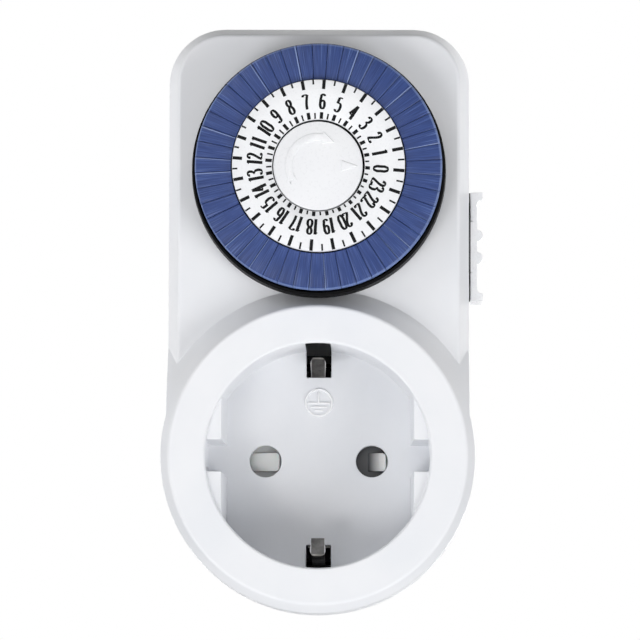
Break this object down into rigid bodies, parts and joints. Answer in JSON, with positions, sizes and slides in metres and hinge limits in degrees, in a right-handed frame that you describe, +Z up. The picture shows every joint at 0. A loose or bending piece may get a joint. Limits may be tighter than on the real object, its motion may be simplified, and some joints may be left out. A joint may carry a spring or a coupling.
{
  "type": "plug in timer switch",
  "caption": "Plug-in mains timer: round socket below, a daily dial ringed with push tabs above, a side override slider, and a round two-pin plug behind.",
  "frame": {"origin": "midway between the two plug pins, on the face of the plug that they stand on", "axes": "+X to the right and +Z up as seen from the front, +Y along the pins into the wall; the dial and socket face -Y"},
  "size_m": [0.0569, 0.071, 0.1047],
  "materials": {
    "housing_white": "satin moulded plastic",
    "scale_white": "satin moulded plastic",
    "slider_white": "satin moulded plastic",
    "tab_blue": "satin moulded plastic",
    "dial_black": "satin moulded plastic",
    "shutter_plastic": "matte",
    "frame_plastic": "matte",
    "gear_plastic": "satin acetal",
    "nickel": "nickel plated brass",
    "contact_brass": "rolled strip",
    "clip_steel": "nickel plated spring strip",
    "spring_steel": "bright steel",
    "motor_steel": "zinc plated sheet",
    "coil_copper": "enamelled copper wire",
    "screw_steel": "zinc plated"
  },
  "bodies": {
    "housing": {"front_shell": "housing_white", "rear_shell": "housing_white", "plug_pin_left": "nickel", "plug_pin_right": "nickel", "neutral_contact": "contact_brass", "live_strip": "contact_brass", "load_strip": "contact_brass", "earth_strap_top": "clip_steel", "earth_strap_bottom": "clip_steel", "earth_bridge": "clip_steel", "shutter_spring": "spring_steel", "movement_frame": "frame_plastic", "motor_can": "motor_steel", "motor_lid": "motor_steel", "motor_coil": "coil_copper", "gear_axles": "spring_steel", "dial_washer": "spring_steel", "centre_cap": "scale_white", "lever_pin": "spring_steel", "case_screws": "screw_steel"},
    "dial": {"dial_carrier": "dial_black", "dial_gear": "dial_black", "scale_disc": "scale_white"},
    "motor_output": {"motor_shaft": "spring_steel", "motor_pinion": "gear_plastic"},
    "small_idler": {"idler_gear_small": "gear_plastic"},
    "large_idler": {"idler_gear_large": "gear_plastic"},
    "lever": {"switch_lever": "gear_plastic", "contact_bridge": "contact_brass"},
    "slider": {"override_slider": "slider_white"},
    "shutter": {"safety_shutter": "shutter_plastic"},
    "tabs_00": {"tabs_hour_00": "tab_blue"},
    "tabs_01": {"tabs_hour_01": "tab_blue"},
    "tabs_02": {"tabs_hour_02": "tab_blue"},
    "tabs_03": {"tabs_hour_03": "tab_blue"},
    "tabs_04": {"tabs_hour_04": "tab_blue"},
    "tabs_05": {"tabs_hour_05": "tab_blue"},
    "tabs_06": {"tabs_hour_06": "tab_blue"},
    "tabs_07": {"tabs_hour_07": "tab_blue"},
    "tabs_08": {"tabs_hour_08": "tab_blue"},
    "tabs_09": {"tabs_hour_09": "tab_blue"},
    "tabs_10": {"tabs_hour_10": "tab_blue"},
    "tabs_11": {"tabs_hour_11": "tab_blue"},
    "tabs_12": {"tabs_hour_12": "tab_blue"},
    "tabs_13": {"tabs_hour_13": "tab_blue"},
    "tabs_14": {"tabs_hour_14": "tab_blue"},
    "tabs_15": {"tabs_hour_15": "tab_blue"},
    "tabs_16": {"tabs_hour_16": "tab_blue"},
    "tabs_17": {"tabs_hour_17": "tab_blue"},
    "tabs_18": {"tabs_hour_18": "tab_blue"},
    "tabs_19": {"tabs_hour_19": "tab_blue"},
    "tabs_20": {"tabs_hour_20": "tab_blue"},
    "tabs_21": {"tabs_hour_21": "tab_blue"},
    "tabs_22": {"tabs_hour_22": "tab_blue"},
    "tabs_23": {"tabs_hour_23": "tab_blue"}
  },
  "joints": [
    {"name": "dial_turn", "type": "hinge", "parent": "housing", "child": "dial", "pos_m": [0, -0.045, 0.0505], "axis": [0, 1, 0], "continuous": true},
    {"name": "large_idler_turn", "type": "hinge", "parent": "housing", "child": "large_idler", "pos_m": [-0.01018, -0.035, 0.04032], "axis": [0, 1, 0], "continuous": true},
    {"name": "small_idler_turn", "type": "hinge", "parent": "housing", "child": "small_idler", "pos_m": [-0.01018, -0.035, 0.03072], "axis": [0, 1, 0], "continuous": true},
    {"name": "motor_turn", "type": "hinge", "parent": "housing", "child": "motor_output", "pos_m": [-0.00238, -0.035, 0.03072], "axis": [0, 1, 0], "continuous": true},
    {"name": "slider_travel", "type": "slide", "parent": "housing", "child": "slider", "axis": [0, 0, 1], "range_m": [0, 0.003]},
    {"name": "lever_tilt", "type": "hinge", "parent": "housing", "child": "lever", "pos_m": [0.01955, -0.0362, 0.0395], "axis": [-1, 0, 0], "range_deg": [0, 8.5]},
    {"name": "shutter_travel", "type": "slide", "parent": "housing", "child": "shutter", "axis": [1, 0, 0], "range_m": [0, 0.0068], "stiffness_N_per_m": 120, "springref_m": -0.002, "deforming": ["shutter_spring"]},
    {"name": "tabs_00_travel", "type": "slide", "parent": "dial", "child": "tabs_00", "axis": [0, 1, 0], "range_m": [0, 0.0022]},
    {"name": "tabs_01_travel", "type": "slide", "parent": "dial", "child": "tabs_01", "axis": [0, 1, 0], "range_m": [0, 0.0022]},
    {"name": "tabs_02_travel", "type": "slide", "parent": "dial", "child": "tabs_02", "axis": [0, 1, 0], "range_m": [0, 0.0022]},
    {"name": "tabs_03_travel", "type": "slide", "parent": "dial", "child": "tabs_03", "axis": [0, 1, 0], "range_m": [0, 0.0022]},
    {"name": "tabs_04_travel", "type": "slide", "parent": "dial", "child": "tabs_04", "axis": [0, 1, 0], "range_m": [0, 0.0022]},
    {"name": "tabs_05_travel", "type": "slide", "parent": "dial", "child": "tabs_05", "axis": [0, 1, 0], "range_m": [0, 0.0022]},
    {"name": "tabs_06_travel", "type": "slide", "parent": "dial", "child": "tabs_06", "axis": [0, 1, 0], "range_m": [0, 0.0022]},
    {"name": "tabs_07_travel", "type": "slide", "parent": "dial", "child": "tabs_07", "axis": [0, 1, 0], "range_m": [0, 0.0022]},
    {"name": "tabs_08_travel", "type": "slide", "parent": "dial", "child": "tabs_08", "axis": [0, 1, 0], "range_m": [0, 0.0022]},
    {"name": "tabs_09_travel", "type": "slide", "parent": "dial", "child": "tabs_09", "axis": [0, 1, 0], "range_m": [0, 0.0022]},
    {"name": "tabs_10_travel", "type": "slide", "parent": "dial", "child": "tabs_10", "axis": [0, 1, 0], "range_m": [0, 0.0022]},
    {"name": "tabs_11_travel", "type": "slide", "parent": "dial", "child": "tabs_11", "axis": [0, 1, 0], "range_m": [0, 0.0022]},
    {"name": "tabs_12_travel", "type": "slide", "parent": "dial", "child": "tabs_12", "axis": [0, 1, 0], "range_m": [0, 0.0022]},
    {"name": "tabs_13_travel", "type": "slide", "parent": "dial", "child": "tabs_13", "axis": [0, 1, 0], "range_m": [0, 0.0022]},
    {"name": "tabs_14_travel", "type": "slide", "parent": "dial", "child": "tabs_14", "axis": [0, 1, 0], "range_m": [0, 0.0022]},
    {"name": "tabs_15_travel", "type": "slide", "parent": "dial", "child": "tabs_15", "axis": [0, 1, 0], "range_m": [0, 0.0022]},
    {"name": "tabs_16_travel", "type": "slide", "parent": "dial", "child": "tabs_16", "axis": [0, 1, 0], "range_m": [0, 0.0022]},
    {"name": "tabs_17_travel", "type": "slide", "parent": "dial", "child": "tabs_17", "axis": [0, 1, 0], "range_m": [0, 0.0022]},
    {"name": "tabs_18_travel", "type": "slide", "parent": "dial", "child": "tabs_18", "axis": [0, 1, 0], "range_m": [0, 0.0022]},
    {"name": "tabs_19_travel", "type": "slide", "parent": "dial", "child": "tabs_19", "axis": [0, 1, 0], "range_m": [0, 0.0022]},
    {"name": "tabs_20_travel", "type": "slide", "parent": "dial", "child": "tabs_20", "axis": [0, 1, 0], "range_m": [0, 0.0022]},
    {"name": "tabs_21_travel", "type": "slide", "parent": "dial", "child": "tabs_21", "axis": [0, 1, 0], "range_m": [0, 0.0022]},
    {"name": "tabs_22_travel", "type": "slide", "parent": "dial", "child": "tabs_22", "axis": [0, 1, 0], "range_m": [0, 0.0022]},
    {"name": "tabs_23_travel", "type": "slide", "parent": "dial", "child": "tabs_23", "axis": [0, 1, 0], "range_m": [0, 0.0022]}
  ],
  "couplings": [
    {"joint": "large_idler_turn", "follows": "dial_turn", "ratio": -5},
    {"joint": "small_idler_turn", "follows": "dial_turn", "ratio": 15},
    {"joint": "motor_turn", "follows": "dial_turn", "ratio": -24},
    {"joint": "lever_tilt", "follows": "slider_travel", "rad_per_m": 49.4}
  ]
}
